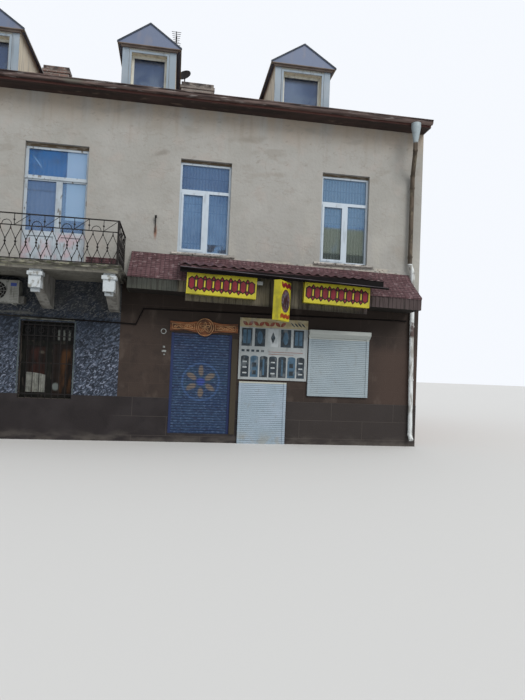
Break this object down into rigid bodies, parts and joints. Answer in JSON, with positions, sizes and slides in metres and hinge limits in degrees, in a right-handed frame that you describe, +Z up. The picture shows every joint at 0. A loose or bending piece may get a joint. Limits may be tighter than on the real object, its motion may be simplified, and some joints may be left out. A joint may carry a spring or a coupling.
{
  "type": "terraced shop house",
  "caption": "Old two-storey plastered town house with a shop front, a ribbed metal canopy, an iron balcony and gabled roof dormers, its shop closed with roller shutters.",
  "frame": {"origin": "on the ground at the middle of the house's footprint", "axes": "+X runs along the street front to the right as seen from the street, +Y runs from the street to the back, +Z is up"},
  "size_m": [13.95, 11.7225, 12.3652],
  "materials": {
    "cream_plaster": "weathered lime render with stains, cracks and patches",
    "brick": "old soft brick with worn joints",
    "brown_tile": "dull brown facing slabs, dusty at the foot",
    "plinth_tile": "grey-brown plinth slabs with thin joints",
    "dark_stone": "crazy-laid dark stone with pale blotches",
    "concrete": "weathered concrete with moss",
    "floor_boards": "plain boards",
    "roof_metal": "red-brown coated sheet, matt",
    "canopy_metal": "maroon coated metal tiles, chalky",
    "grey_ribbed_metal": "dusty ribbed sheet",
    "gutter_metal": "brown painted sheet with rust",
    "zinc": "dull weathered zinc sheet",
    "white_frame": "white window profile, lightly soiled",
    "pane": "clear, sky in the reflection",
    "white_paint": "old white gloss paint",
    "rusty_iron": "dark paint over rust",
    "blue_slats": "blue slats with worn paint and splashes",
    "white_slats": "white slats, dusty",
    "carved_wood": "oiled carved board",
    "poster": "printed panel faded by the sun",
    "yellow_sign": "yellow face with raised red shapes",
    "white_case": "white case, grimy",
    "brown_door": "painted planks"
  },
  "bodies": {
    "root": {"front_wall_ground": "cream_plaster", "front_wall_upper": "cream_plaster", "party_wall_left": "brick", "party_wall_right": "brick", "back_wall_ground": "cream_plaster", "back_wall_upper": "cream_plaster", "ground_floor": "concrete", "first_floor": "concrete", "attic_floor": "floor_boards", "roof_front": "roof_metal", "roof_back": "roof_metal", "ridge_cap": "roof_metal", "eaves_boxes": "gutter_metal", "roof_gutters": "gutter_metal", "front_downpipe": "zinc", "back_downpipe": "zinc", "dormer_bodies": "zinc", "dormer_roofs": "zinc", "dormer_windows": "white_frame", "chimneys": "brick", "aerial": "rusty_iron", "satellite_dish": "rusty_iron", "upper_windows": "white_frame", "window_panes": "pane", "window_trims": "cream_plaster", "balcony_door": "white_paint", "balcony_slab": "concrete", "balcony_brackets": "cream_plaster", "railing_front": "rusty_iron", "railing_left": "rusty_iron", "railing_right": "rusty_iron", "balcony_box": "canopy_metal", "plinth": "plinth_tile", "stone_facing": "dark_stone", "brown_facing": "brown_tile", "barred_windows": "white_frame", "window_grilles": "rusty_iron", "door_shutter": "blue_slats", "hatch_shutter": "white_slats", "window_shutter": "white_slats", "door_board": "carved_wood", "poster_panel": "poster", "canopy_roof": "canopy_metal", "canopy_fascia": "grey_ribbed_metal", "canopy_soffit": "grey_ribbed_metal", "raised_awning": "canopy_metal", "canopy_gutter": "gutter_metal", "shop_signs": "yellow_sign", "hanging_sign": "yellow_sign", "wall_pipe": "gutter_metal", "air_conditioner": "white_case", "back_windows": "white_frame", "back_door": "brown_door"}
  },
  "joints": []
}
